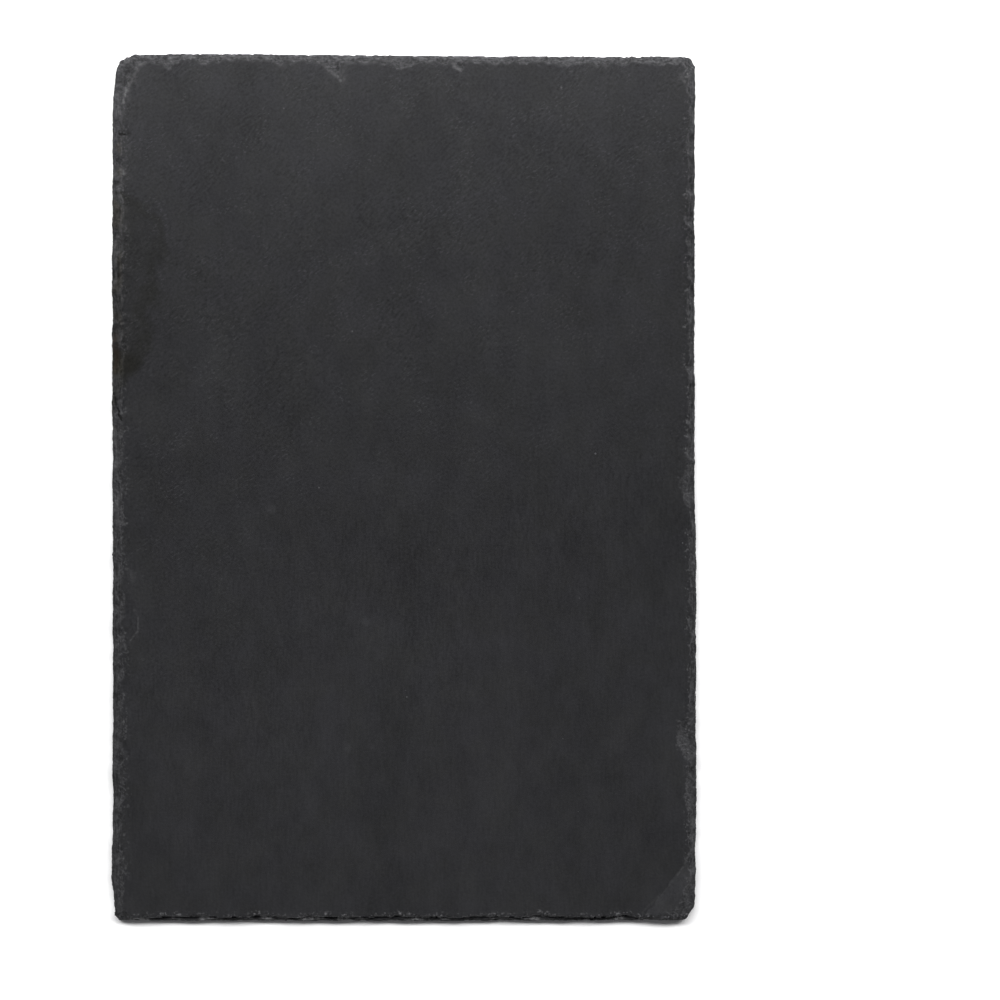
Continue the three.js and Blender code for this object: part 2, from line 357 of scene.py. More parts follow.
def makeLowerChips(chance):
    chips = []
    distance = 0.0
    outset = chipValues["underOutset"]
    drop = chipValues["underDrop"]
    while distance < perimeter:
        along = chance.between(chipValues["underHalfLength"])
        distance += along
        place, inward = onOutline(distance)
        across = chance.between(chipValues["underReach"]) / (1 - outset)
        depth = chance.between(chipValues["underRise"]) + drop
        x, y = place - inward * outset * across
        chips.append((x, y, along, across, depth, drop, turnAlong(inward)))
        distance += along + chance.between(chipValues["underGap"])
    return chips


def makeNicks(chance):
    nicks = []
    distance = 0.0
    while distance < perimeter:
        along = chance.between(chipValues["nickHalfLength"])
        distance += along
        place, inward = onOutline(distance)
        reach = chipValues["dressing"][sideOf(place)]["reach"]
        middle = reach[0] * chance.between(chipValues["nickReach"])
        across = along * chance.between(chipValues["nickSlimness"])
        depth = chance.between(chipValues["nickDepth"])
        turn = turnAlong(inward) + chance.between((-chipValues["nickTurn"], chipValues["nickTurn"]))
        x, y = place + inward * (middle - across * 0.5)
        nicks.append((x, y, along, across, depth, 0.3 * depth, turn))
        distance += along * chance.between(chipValues["nickGap"])
    return nicks


chance = Chance(20)
bedPhases = [[chance.value() * 2 * math.pi for _ in bedValues["cycles"]] for _ in bedValues["beds"]]
upperChips = makeUpperChips(chance)
lowerChips = makeLowerChips(chance) + undersideScars
nicks = makeNicks(Chance(77))
steepScars = [scar for scar in faceScars if scar[4] > chipValues["flakeDepth"]]
flakes = [scar for scar in faceScars if scar[4] <= chipValues["flakeDepth"]] + shallowFlakes
print("chips:", len(upperChips), "above,", len(lowerChips), "below,", len(nicks), "nicks")


def noiseField(points, size, seed=0.0):    # smooth noise from -1 to 1 at each point
    shift = Vector((seed * 17.3, seed * 9.1, seed * 5.7))
    return np.array([noise.noise(Vector(p) / size + shift) for p in points])


def roughness(name, points):    # the sum of one set of noise layers at each point
    return sum(height * noiseField(points, size, seed) for size, height, seed in roughLayers[name])


def flat(points, z=0.0):    # 2-D points as 3-D ones
    return np.column_stack([points, np.full(len(points), z) if np.isscalar(z) else z])


def hollowDepth(points, chips, straight=0.0):    # how deep the chips cut below the face
    depthAt = np.zeros(len(points))
    for x, y, along, across, depth, lift, turn in chips:
        reach = max(along, across)
        near = np.nonzero((abs(points[:, 0] - x) < reach) & (abs(points[:, 1] - y) < reach))[0]
        if len(near) == 0:
            continue
        c, s = math.cos(math.radians(turn)), math.sin(math.radians(turn))
        dx, dy = points[near, 0] - x, points[near, 1] - y
        r2 = ((dx * c + dy * s) / along) ** 2 + ((dy * c - dx * s) / across) ** 2
        inside = r2 < 1
        rim = math.sqrt(1 - (lift / depth) ** 2)
        hollow = depth * np.sqrt(1 - r2[inside]) - lift
        flank = (depth - lift) * (1 - np.sqrt(r2[inside]) / rim)
        cut = hollow + (flank - hollow) * straight
        depthAt[near[inside]] = np.maximum(depthAt[near[inside]], cut)
    return depthAt


def lineStrength(points, lines):    # how strong the strongest line is at each point
    strengthAt = np.zeros(len(points))
    for start, end, halfWidth, strength in lines:
        start, run = np.array(start), np.array(end) - np.array(start)
        part = np.clip((points - start) @ run / (run @ run), 0, 1)
        gap = np.linalg.norm(points - start - part[:, None] * run, axis=1)
        strengthAt = np.maximum(strengthAt, strength * np.clip(1 - gap / halfWidth, 0, 1))
    return strengthAt


def terrace(depth, layer, strength):    # turns a slope into treads and risers
    step = depth / layer
    whole = np.floor(step)
    part = step - whole
    riser = np.clip((part - 0.5) * 3 + 0.5, 0, 1)
    stepped = (whole + riser * riser * (3 - 2 * riser)) * layer
    return depth + (stepped - depth) * strength


def bedSetBack(rounds, heights):    # how far each bed's edge stands back from the outline
    back = np.zeros(len(rounds))
    for k, (floor, setBack, wander) in enumerate(bedValues["beds"]):
        waves = sum(
            np.sin(2 * math.pi * cycles * rounds / perimeter + phase)
            for cycles, phase in zip(bedValues["cycles"], bedPhases[k])
        )
        mine = setBack + wander * waves / len(bedValues["cycles"])
        if k == 0:
            back = mine
            continue
        part = np.clip((heights - floor) / bedValues["ledge"] + 0.5, 0, 1)
        back = back * (1 - part) + mine * part
    return back


def layerSetBack(places, heights):    # the thin layers' own ragged edges
    layer = np.floor((heights + roughness("layerBend", flat(places))) / bedValues["layer"])
    torn = roughness("layerEdge", flat(places, layer * bedValues["layerApart"]))
    return bySide(places, bedValues["layerWander"]) * torn + roughness("layerGrain", flat(places, heights))


# selecting in edit mode, by place or direction
def selectEdges(mesh, test):
    bm = bmesh.from_edit_mesh(mesh)
    for edge in bm.edges:
        edge.select_set(test(edge.verts[0].co, edge.verts[1].co))
    bmesh.update_edit_mesh(mesh)


def selectFaces(mesh, test):
    bm = bmesh.from_edit_mesh(mesh)
    for face in bm.faces:
        face.select_set(test(face.calc_center_median(), face.normal))
    bmesh.update_edit_mesh(mesh)


def addSlabBlank():
    bpy.ops.object.select_all(action="DESELECT")
    width, length, thickness = (slabValues[k] for k in ("width", "length", "thickness"))
    bpy.ops.mesh.primitive_cube_add(size=1, location=(0, 0, 0))
    blank = bpy.context.object
    blank.name = "slate_slab_dressed"
    bpy.ops.object.mode_set(mode="EDIT")
    bpy.ops.transform.resize(value=(width, length, thickness))
    bpy.ops.transform.translate(value=(0, 0, thickness / 2))
    bpy.ops.mesh.select_mode(type="EDGE")
    rows = (
        (0, round(width / slabValues["cell"])),
        (1, round(length / slabValues["cell"])),
        (2, slabValues["wallRows"]),
    )
    for axis, count in rows:    # each pass cuts the box across one direction
        selectEdges(blank.data, lambda a, b: abs(a[axis] - b[axis]) > 1e-4)
        bpy.ops.mesh.subdivide(number_cuts=count - 1)
    bpy.ops.mesh.select_mode(type="FACE")
    halfWidth, halfLength = width / 2, length / 2

    def nearEdge(centre, normal):
        gap = min(halfWidth - abs(centre.x), halfLength - abs(centre.y))
        if normal.z > 0.5:
            if gap < slabValues["edgeBand"]:
                return True
            return hollowDepth(np.array([[centre.x, centre.y]]), faceScars)[0] > 0
        if normal.z < -0.5:
            return gap < slabValues["underBand"]
        return True

    selectFaces(blank.data, nearEdge)
    bpy.ops.mesh.subdivide(number_cuts=slabValues["edgeCuts"])
    bpy.ops.object.mode_set(mode="OBJECT")
    return blank


def bendToOutline(points):    # moves the box's plan onto the real outline, less and less further in
    halfWidth, halfLength = slabValues["width"] / 2, slabValues["length"] / 2
    reach = slabValues["warpReach"]

    def moveAt(border):
        place, _, _ = nearestOnOutline(border)
        return place - border

    def fade(gap):
        return np.clip(1 - gap / reach, 0, 1)[:, None] ** 2

    x, y = points[:, 0], points[:, 1]
    moved = np.zeros_like(points)
    for sign in (-1, 1):
        side = np.column_stack([np.full(len(points), sign * halfWidth), y])
        moved += fade(halfWidth - sign * x) * moveAt(side)
        end = np.column_stack([x, np.full(len(points), sign * halfLength)])
        moved += fade(halfLength - sign * y) * moveAt(end)
    for signX in (-1, 1):
        for signY in (-1, 1):
            corner = np.array([[signX * halfWidth, signY * halfLength]])
            both = fade(halfWidth - signX * x) * fade(halfLength - signY * y)
            moved -= both * moveAt(corner)
    return points + moved


def shapeSlab(blank):
    mesh = blank.data
    count = len(mesh.vertices)
    co = np.empty(count * 3)
    mesh.vertices.foreach_get("co", co)
    co = co.reshape(-1, 3)
    thickness = slabValues["thickness"]
    height = co[:, 2].copy()
    isTop = height > thickness - hair
    isBottom = height < hair
    plan = bendToOutline(co[:, :2])
    places, inwards, rounds = nearestOnOutline(plan)
    gap = np.sum((plan - places) * inwards, axis=1)
    onWall = gap < hair
    gap = np.clip(gap, 0, None)

    # the places where chips are looked up wander a little, so no hollow is a true oval
    field, edge = flat(plan), flat(places)
    wander = np.column_stack([roughness("wanderX", field), roughness("wanderY", field)])
    ledges = roughness("ledges", field)
    crumbs = roughness("crumbs", field)
    sharpness = bySide(places, bedValues["stepSharpness"])

    # the lip along the near end, with the crevice at its foot and the slivers beyond it; the crevice gets
    # painted shade and the slivers a painted highlight in the material
    isNearEnd = np.array([sideOf(place) == "bottom" for place in places])
    fromLipEnd = np.minimum(places[:, 0] - bedValues["lipFrom"], bedValues["lipTo"] - places[:, 0])
    lipReach = bedValues["lipBreadth"] + roughness("lip", edge)
    lipReach = lipReach * np.clip(fromLipEnd / bedValues["lipTaper"], 0, 1) * isNearEnd
    creviceReach = bedValues["creviceReach"] * np.clip(roughness("crevice", edge) + 0.3, 0, 1)
    intoLip = (lipReach - gap) * isNearEnd
    riser = bedValues["riser"]
    onLip = np.clip(intoLip / riser, 0, 1)
    inCrevice = onLip * np.clip((creviceReach - intoLip) / riser + 1, 0, 1)
    ledge, lipFall = bedValues["lipFall"]
    beyond = np.clip(intoLip - creviceReach - ledge, 0, None)
    lipCut = bedValues["lip"] * onLip + bedValues["crevice"] * inCrevice + lipFall * beyond
    # painted highlight on the slivers' thin edges
    sliver = np.clip(roughness("sliver", edge) + 0.2, 0, 1) * (1 - inCrevice)
    sliver = bedValues["sliver"] * sliver * onLip * isNearEnd

    # the bands of loose grains and of broken arris
    fromBand = np.where(isNearEnd, -intoLip, gap)
    bandFrom, bandTo, bandStrength = (
        bySide(places, {side: band[k] for side, band in crumbBands.items()}) for k in range(3)
    )
    fadeIn, fadeOut = crumbFade
    inBand = np.clip((fromBand - bandFrom) / fadeIn, 0, 1) * np.clip((bandTo - fromBand) / fadeOut, 0, 1)
    brokenReach, brokenWander, brokenDepth = (
        bySide(places, {side: band[k] for side, band in brokenBands.items()}) for k in range(3)
    )
    brokenReach = np.maximum(brokenReach + brokenWander * roughness("bandReach", field), 0.3)
    brokenDepth = brokenDepth * (1 + roughness("bandDepth", edge))
    alongBand = brokenDepth * np.clip(1 - gap / brokenReach, 0, 1)

    def stepped(cut, strength):    # the same cut in steps, with crumbled treads
        broken = np.clip(cut * 2, 0, 1)
        steps = terrace(cut + ledges * broken, bedValues["step"], strength)
        return np.clip(steps - ledges * broken + crumbs * broken, 0, None)

    def roughCut(where):
        straight = chipValues["straight"]
        dressed = hollowDepth(where + wander, upperChips, straight)
        dressed = np.maximum(dressed, hollowDepth(where + wander, nicks, straight))
        dressed = np.maximum(dressed, alongBand)
        scars = hollowDepth(where + wander, steepScars, straight)
        cut = np.maximum(stepped(dressed, sharpness), stepped(scars, bedValues["scarSharpness"]))
        return np.maximum(cut, lipCut)

    def flakeCut(where):
        return hollowDepth(where + wander * 0.7, flakes)

    def topCut(where):
        cut = np.maximum(roughCut(where), flakeCut(where))
        return np.maximum(cut, lineStrength(where, cracks))

    def bottomCut(where):
        cut = hollowDepth(where + wander, lowerChips)
        return terrace(cut, *bedValues["underStep"])

    # the split faces themselves are not quite flat
    faceDip = slabValues["faceDip"] * np.clip(0.5 + roughness("faceSwell", field), 0, 1)
    underDip = slabValues["underDip"] * np.clip(roughness("underSwell", field), 0, 1)

    # first guess at how high the side wall stands, then the wall's own set-back at that height
    foot = thickness - topCut(plan)
    back = bedSetBack(rounds, foot)
    inner = plan + inwards * (back * np.clip(1 - gap / slabValues["warpReach"], 0, 1))[:, None]
    cutTop = topCut(inner)
    cutBottom = bottomCut(inner)
    floorHeight = np.where(isTop, 0, cutBottom + underDip * (gap > 0))
    topHeight = thickness - np.maximum(cutTop, faceDip * np.clip(gap / slabValues["dipFade"], 0, 1))
    topHeight = np.maximum(topHeight, cutBottom + slabValues["thinnest"])

    result = np.empty_like(co)
    result[:, :2] = inner
    result[:, 2] = np.where(isTop, topHeight, floorHeight)

    # the side walls: each column of points runs from its lower edge to its upper one
    share = height / thickness
    wallHeight = cutBottom + share * (topHeight - cutBottom)
    back = bedSetBack(rounds, wallHeight) + layerSetBack(plan, wallHeight)
    back = np.maximum(back, slabValues["leastBack"])
    tuckReach, tuckShare = slabValues["tuck"]
    tuck = np.clip(1 - share / tuckShare, 0, 1) * tuckReach
    wallPlan = plan + inwards * (back + tuck)[:, None]
    result[onWall, :2] = wallPlan[onWall]
    middle = onWall & ~isTop & ~isBottom
    result[middle, 2] = wallHeight[middle]

    # centred, and drawn in by a hair's breadth where it would leave the solid's box
    low, high = result.min(axis=0)[:2], result.max(axis=0)[:2]
    room = np.array([cadBox[1][k] - cadBox[0][k] for k in (0, 1)]) / mm
    result[:, :2] = (result[:, :2] - (low + high) / 2) * np.minimum(1, room / (high - low))
    mesh.vertices.foreach_set("co", (result * mm).ravel())
    mesh.update()

    # for the material, in mm: how much stone is gone, how far in from the edge, and how far round it
    gone = np.where(isTop, roughCut(inner), np.where(isBottom, cutBottom, thickness / 2))
    gone = np.where(onWall, np.maximum(gone, slabValues["wallGone"]), gone)
    turn = rounds / perimeter * 2 * math.pi
    ring = perimeter / (2 * math.pi)
    onScar = np.clip(hollowDepth(inner + wander, steepScars) * 1.5 - gone, 0, 1) * isTop
    arrisHeight = np.where(isNearEnd, thickness, np.where(isTop, result[:, 2], topHeight))
    fall = arrisHeight - result[:, 2]
    values = {
        "stoneGone": gone,
        "flakeGone": np.where(isTop, flakeCut(inner), 0),
        # painted highlight on the rims and slivers
        "paintedHighlight": np.where(isTop, np.maximum(lineStrength(plan + wander * 0.5, litRims), sliver), 0),
        # painted shade along the crevice at the lip's foot
        "creviceShade": np.where(isTop, inCrevice, 0),
        "crumbBand": np.where(isTop, inBand * bandStrength, 0),
        "edgeIn": gap - bedValues["ribSlant"] * fall,     # below zero down the side
        "onScar": onScar,
        "roundCosine": ring * np.cos(turn),     # as a circle, so that it has no seam
        "roundSine": ring * np.sin(turn),
    }
    for name, value in values.items():
        mesh.attributes.new(name, "FLOAT", "POINT").data.foreach_set("value", value)


slab = addSlabBlank()
print("blank:", len(slab.data.vertices), "points")
shapeSlab(slab)
bpy.ops.object.select_all(action="DESELECT")
slab.select_set(True)
bpy.context.view_layer.objects.active = slab
bpy.ops.object.shade_smooth_by_angle(angle=math.radians(slabValues["smoothAngle"]))
slab.data.calc_loop_triangles()
print("slab shaped:", len(slab.data.loop_triangles), "triangles")


# node helpers: a value may be a number or another node's socket
def put(tree, value, socket):
    if isinstance(value, bpy.types.NodeSocket):
        tree.links.new(value, socket)
    else:
        socket.default_value = value


def mathNode(tree, operation, *values):
    node = tree.nodes.new("ShaderNodeMath")
    node.operation = operation
    for value, socket in zip(values, node.inputs):
        put(tree, value, socket)
    return node.outputs[0]


def product(tree, total, *values):
    for value in values:
        total = mathNode(tree, "MULTIPLY", total, value)
    return total


def vectorNode(tree, operation, *values):
    node = tree.nodes.new("ShaderNodeVectorMath")
    node.operation = operation
    for value, socket in zip(values, [s for s in node.inputs if s.enabled]):
        put(tree, value, socket)
    return next(s for s in node.outputs if s.enabled)


def separate(tree, vector):    # its X, Y and Z
    node = tree.nodes.new("ShaderNodeSeparateXYZ")
    tree.links.new(vector, node.inputs[0])
    return node.outputs


def attribute(tree, name):    # a value that the mesh carries
    node = tree.nodes.new("ShaderNodeAttribute")
    node.attribute_name = name
    return node.outputs["Fac"]


def rangeNode(tree, value, low, high, toLow=0.0, toHigh=1.0):    # an eased step from one value to another
    node = tree.nodes.new("ShaderNodeMapRange")
    node.interpolation_type = "SMOOTHSTEP"
    for source, socket in zip((value, low, high, toLow, toHigh), node.inputs):
        put(tree, source, socket)
    return node.outputs["Result"]


def stretch(tree, place, size, turn=0.0, seed=0.0):    # size is that of a fleck, in mm
    node = tree.nodes.new("ShaderNodeMapping")
    node.vector_type = "TEXTURE"
    node.inputs["Location"].default_value = (seed * 13.1, seed * 7.7, seed * 3.9)
    node.inputs["Rotation"].default_value = (0, 0, math.radians(turn))
    node.inputs["Scale"].default_value = size if isinstance(size, tuple) else (size, size, size)
    tree.links.new(place, node.inputs["Vector"])
    return node.outputs["Vector"]


def noiseNode(tree, place, size, turn=0.0, detail=2.0, seed=0.0):
    node = tree.nodes.new("ShaderNodeTexNoise")
    node.inputs["Scale"].default_value = 1.0
    node.inputs["Detail"].default_value = detail
    tree.links.new(stretch(tree, place, size, turn, seed), node.inputs["Vector"])
    return node.outputs["Fac"]


def patchNode(tree, place, values):    # patches: their size, detail and seed, then the step as in rangeNode
    size, detail, seed, *span = values
    return rangeNode(tree, noiseNode(tree, place, size, 0, detail, seed), *span)


def scaleColour(tree, colour, amount):
    if not isinstance(colour, bpy.types.NodeSocket):
        colour = colour[:3]
    return vectorNode(tree, "SCALE", colour, amount)


def mixNode(tree, factor, first, second, blend="MIX"):
    node = tree.nodes.new("ShaderNodeMix")
    node.data_type = "RGBA"
    node.blend_type = blend
    put(tree, factor, node.inputs["Factor"])
    put(tree, first, node.inputs[6])
    put(tree, second, node.inputs[7])
    return node.outputs[2]


def blendNode(tree, factor, first, second):
    node = tree.nodes.new("ShaderNodeMix")
    for value, socket in zip((factor, first, second), (node.inputs[k] for k in (0, 2, 3))):
        put(tree, value, socket)
    return node.outputs[0]


def sumOf(tree, terms):    # terms are (socket, weight), each centred on a half
    total = 0.0
    for socket, weight in terms:
        total = mathNode(tree, "MULTIPLY_ADD", mathNode(tree, "SUBTRACT", socket, 0.5), weight, total)
    return total


def spots(tree, place, spacing, share, radius):    # scattered small spots of chance size and strength
    cells = tree.nodes.new("ShaderNodeTexVoronoi")
    cells.inputs["Scale"].default_value = 1.0
    tree.links.new(stretch(tree, place, spacing), cells.inputs["Vector"])
    lot = tree.nodes.new("ShaderNodeSeparateColor")
    tree.links.new(cells.outputs["Color"], lot.inputs[0])
    chosen = mathNode(tree, "LESS_THAN", lot.outputs[0], share)
    radius = product(tree, lot.outputs[1], radius)
    spot = rangeNode(tree, cells.outputs["Distance"], product(tree, radius, 1.8), radius)
    return product(tree, spot, chosen, lot.outputs[2])


def newGroup(name, inputs, outputs):
    tree = bpy.data.node_groups.new(name, "ShaderNodeTree")
    for direction, sockets in (("INPUT", inputs), ("OUTPUT", outputs)):
        for socketName, kind in sockets.items():
            tree.interface.new_socket(socketName, in_out=direction, socket_type="NodeSocket" + kind)
    return tree, tree.nodes.new("NodeGroupInput"), tree.nodes.new("NodeGroupOutput")


def placeGroup(tree, group, inputs):
    node = tree.nodes.new("ShaderNodeGroup")
    node.node_tree = group
    for name, value in inputs.items():
        put(tree, value, node.inputs[name])
    return node.outputs


def giveOut(tree, result, values):
    for name, value in values.items():
        put(tree, value, result.inputs[name])


grainValues = {             # sizes in mm; weights are shares of the stone's own tone
    "strokeTurns": (31, 50),        # the split face has short slanting strokes at the upper end
    "strokeSize": (2.3, 0.85, 1.0),
    "dotSize": 0.95,
    "threadSize": (0.75, 4.2, 1.0),     # and fine upright threads at the lower end
    "strokeSpan": (-10.0, 80.0),        # places along the slab where each kind begins and is whole
    "threadSpan": (20.0, -40.0),
    "drift": (38.0, 120.0),             # these places drift about: size of a drift, and how far
    "slant": -0.35,
    "whichWay": (6.0, 1, 22, 0.42, 0.58),
    "combed": (13.0, 2, 23, 0.38, 0.60, 0.30, 1.0),
    "strokeWeight": 1.45,
    "threadWeight": 0.85,
    "dotWeight": 0.92,
    "calmSpan": (35.0, -110.0, 1.0, 0.45),      # towards the lower end the grain is quieter
    "cloudSize": (34.0, 52.0, 30.0),
    "cloudWeight": 0.46,
    "patchSize": (7.0, 12.0, 7.0),
    "patchWeight": 0.52,
    "glintSize": (1.5, 0.62, 0.8),
    "glintRange": (0.59, 0.69),         # the brightest grains, painted paler still as painted glints, in loose clusters
    "glintCluster": (9.0, 1, 14, 0.45, 0.65),
    "glintWeight": 0.75,
    "glintSpan": (50.0, -50.0, 1.0, 0.12),      # the painted glints grow faint towards the lower end, away from the light
    "fleckSpacing": (6.0, 6.0, 6.0),
    "fleckRadius": 0.042,   # as a share of the spacing
    "fleckShare": 0.35,
    "relief": 0.07,         # height of the grain, in mm
}


def makeGrainGroup():
    tree, given, result = newGroup(
        "slate grain",
        {"Place": "Vector"},
        {"Tone": "Float", "Fleck": "Float", "Height": "Float"},
    )
    place = given.outputs["Place"]
    v = grainValues
    xyz = separate(tree, place)
    driftSize, driftReach = v["drift"]
    drift = mathNode(tree, "SUBTRACT", noiseNode(tree, place, driftSize, 0, 1, 4), 0.5)
    y = mathNode(tree, "MULTIPLY_ADD", drift, driftReach, xyz["Y"])
    y = mathNode(tree, "MULTIPLY_ADD", xyz["X"], v["slant"], y)
    oneWay, otherWay = (noiseNode(tree, place, v["strokeSize"], turn, 3, turn) for turn in v["strokeTurns"])
    strokes = blendNode(tree, patchNode(tree, place, v["whichWay"]), oneWay, otherWay)
    strokeShare = product(tree, rangeNode(tree, y, *v["strokeSpan"]), patchNode(tree, place, v["combed"]))
    threads = noiseNode(tree, place, v["threadSize"], 0, 2, 3)
    dots = noiseNode(tree, place, v["dotSize"], 0, 2, 2)
    fine = sumOf(tree, [
        (strokes, product(tree, strokeShare, v["strokeWeight"])),
        (threads, product(tree, rangeNode(tree, y, *v["threadSpan"]), v["threadWeight"])),
        (dots, v["dotWeight"]),
    ])
    fine = product(tree, fine, rangeNode(tree, y, *v["calmSpan"]))
    clouds = noiseNode(tree, place, v["cloudSize"], 0, 3, 5)
    patches = noiseNode(tree, place, v["patchSize"], 0, 3, 6)
    broad = sumOf(tree, [(clouds, v["cloudWeight"]), (patches, v["patchWeight"])])
    # painted glints: bright grains painted paler as a painted highlight
    paintedGlints = noiseNode(tree, place, v["glintSize"], v["strokeTurns"][0], 1, 13)
    paintedGlints = product(
        tree, rangeNode(tree, paintedGlints, *v["glintRange"]), patchNode(tree, place, v["glintCluster"]),
        v["glintWeight"], rangeNode(tree, y, *v["glintSpan"]),
    )
    tone = mathNode(tree, "ADD", mathNode(tree, "ADD", fine, broad), 1.0)
    giveOut(tree, result, {
        # the tone carries the painted glints as well as the grain
        "Tone": mathNode(tree, "ADD", tone, paintedGlints),
        "Fleck": spots(tree, place, v["fleckSpacing"], v["fleckShare"], v["fleckRadius"]),
        "Height": product(tree, dots, v["relief"]),
    })
    return tree


faintMarks = [              # soft pale or dark marks: x, y, half breadth, half length, strength
    (-13.2, -46.4, 2.6, 2.2, 0.26),
    (-19.2, -89.8, 1.8, 2.4, 0.22),
    (-11.1, -89.4, 1.6, 1.8, 0.20),
    (-45.8, -7.6, 2.8, 2.2, 0.26),
    (7.3, 37.2, 2.6, 1.8, 0.18),
    (-19.8, -84.0, 1.2, 60.0, 0.05),
    (-94.6, 142.2, 4.4, 5.4, -0.36),
    (-97.4, 122.3, 4.4, 3.4, -0.28),
    (-98.6, 133.2, 2.6, 4.4, 0.16),
    (-100.0, 66.0, 5.0, 44.0, -0.25),
    (-99.6, 75.0, 2.6, 6.0, -0.16),
    (-99.6, 49.0, 2.4, 4.0, -0.24),
    (99.6, 95.0, 4.5, 46.0, -0.20),
    (99.6, 40.0, 4.0, 26.0, -0.12),
    (99.0, -95.0, 4.0, 22.0, 0.08),
    (-99.0, -60.0, 4.5, 90.0, -0.07),
    (-97.0, 30.5, 4.5, 7.0, -0.20),
    (-96.6, 95.0, 4.5, 8.0, -0.08),
    (-1.7, -134.1, 9.0, 7.0, -0.06),
    (86.0, -122.3, 10.0, 9.0, -0.05),
    (32.2, -46.4, 11.0, 9.0, -0.05),
]


def makeMarkGroup():
    tree, given, result = newGroup(
        "faint mark",
        {"Place": "Vector", "Centre": "Vector", "Size": "Vector", "Strength": "Float"},
        {"Tone": "Float"},
    )
    away = vectorNode(tree, "SUBTRACT", given.outputs["Place"], given.outputs["Centre"])
    away = vectorNode(tree, "LENGTH", vectorNode(tree, "DIVIDE", away, given.outputs["Size"]))
    share = rangeNode(tree, away, 1.0, 0.2)
    giveOut(tree, result, {"Tone": product(tree, share, given.outputs["Strength"])})
    return tree


brokenValues = {
    "from": 0.02,           # depth of stone gone at which the paler broken stone begins, and is whole
    "to": 0.30,
    "splinterSize": (2.4, 0.62, 0.8),   # torn splinters of stone that lie two ways
    "splinterTurns": (24, -38),
    "splinterRange": (0.50, 0.66),
    "whichWay": (3.5, 1, 15, 0.46, 0.54),
    "splinterWeight": 0.55,
    "ribSize": (3.4, 3.4, 0.56),        # ribs of torn layers that run along the edge
    "ribWeight": 2.1,
    "ribSpan": (2.4, 4.2, 1.0, 0.2),    # and fade out this far in
    "layerSize": (4.5, 4.5, 0.60),      # the layers' cut edges, long and thin
    "layerWeight": 0.9,
    "crumbSize": 0.9,
    "crumbWeight": 1.2,
    "patchSize": 5.0,
    "patchWeight": 0.9,
    "ragged": (0.8, 0.5),   # how far crumbs and patches fray the edge of the broken stone
    "rimTo": 0.60,          # the freshly cut rim is painted palest, here and there, partly pale fresh stone and partly a painted highlight
    "rimWeight": 0.22,
    "rimPatches": (2.6, 1, 16, 0.48, 0.60),
    "tintSize": 11.0,
    "ground": 0.84,
    "darkest": 0.50,
    "relief": 0.12,
    "speckSpacing": (0.85, 1.05, 0.85),  # loose bright grains just inside the broken band
    "speckRadius": 0.40,
    "speckShare": 0.5,
    "speckCluster": (4.0, 1, 24, 0.42, 0.60, 0.0, 0.8),
    "grit": (0.54, 0.66, 0.0, 0.8),
}


def makeBrokenGroup():
    tree, given, result = newGroup(
        "broken stone",
        {"Place": "Vector", "Round": "Vector", "Gone": "Float", "Scar": "Float", "Crumble": "Float"},
        {"Share": "Float", "Tone": "Float", "Tint": "Float", "Height": "Float", "Speck": "Float"},
    )
    place, around, gone = (given.outputs[name] for name in ("Place", "Round", "Gone"))
    v = brokenValues
    crumbs = noiseNode(tree, place, v["crumbSize"], 0, 3, 7)
    patches = noiseNode(tree, place, v["patchSize"], 0, 2, 9)
    ragged = mathNode(tree, "ADD", gone, sumOf(tree, zip((crumbs, patches), v["ragged"])))
    share = product(tree, rangeNode(tree, ragged, v["from"], v["to"]), rangeNode(tree, gone, 0.0, v["from"]))
    oneWay, otherWay = (
        noiseNode(tree, place, v["splinterSize"], turn, 3, 8 + turn / 10) for turn in v["splinterTurns"]
    )
    splinters = blendNode(tree, patchNode(tree, place, v["whichWay"]), oneWay, otherWay)
    splinters = rangeNode(tree, splinters, *v["splinterRange"])
    layers = noiseNode(tree, place, v["layerSize"], 0, 3, 8)
    ribs = noiseNode(tree, around, v["ribSize"], 0, 3, 18)
    ribsEnd = v["ribSpan"][1]
    fromEdge = mathNode(tree, "MULTIPLY_ADD", given.outputs["Scar"], ribsEnd, separate(tree, around)["Z"])
    rough = sumOf(tree, [
        (layers, v["layerWeight"]),
        (ribs, product(tree, rangeNode(tree, fromEdge, *v["ribSpan"]), v["ribWeight"])),
        (crumbs, product(tree, given.outputs["Crumble"], v["crumbWeight"])),
        (patches, v["patchWeight"]),
    ])
    # painted highlight: the rim of the broken stone is painted paler, partly as pale fresh stone
    rim = product(
        tree, share, rangeNode(tree, ragged, v["to"], v["rimTo"], 1.0, 0.0),
        patchNode(tree, place, v["rimPatches"]),
    )
    tone = mathNode(tree, "MULTIPLY_ADD", splinters, v["splinterWeight"], v["ground"])
    tone = mathNode(tree, "ADD", tone, rough)
    tone = mathNode(tree, "MULTIPLY_ADD", rim, v["rimWeight"], tone)
    specks = spots(tree, place, v["speckSpacing"], v["speckShare"], v["speckRadius"])
    specks = mathNode(tree, "MAXIMUM", specks, rangeNode(tree, crumbs, *v["grit"]))
    lumps = sumOf(tree, [(ribs, v["ribWeight"]), (crumbs, v["crumbWeight"])])
    raised = rangeNode(tree, gone, v["from"], v["to"])
    giveOut(tree, result, {
        "Share": share,
        "Tone": mathNode(tree, "MAXIMUM", tone, v["darkest"]),
        "Tint": noiseNode(tree, place, v["tintSize"], 0, 2, 10),
        "Height": product(tree, lumps, raised, v["relief"]),
        "Speck": product(tree, specks, patchNode(tree, place, v["speckCluster"])),
    })
    return tree


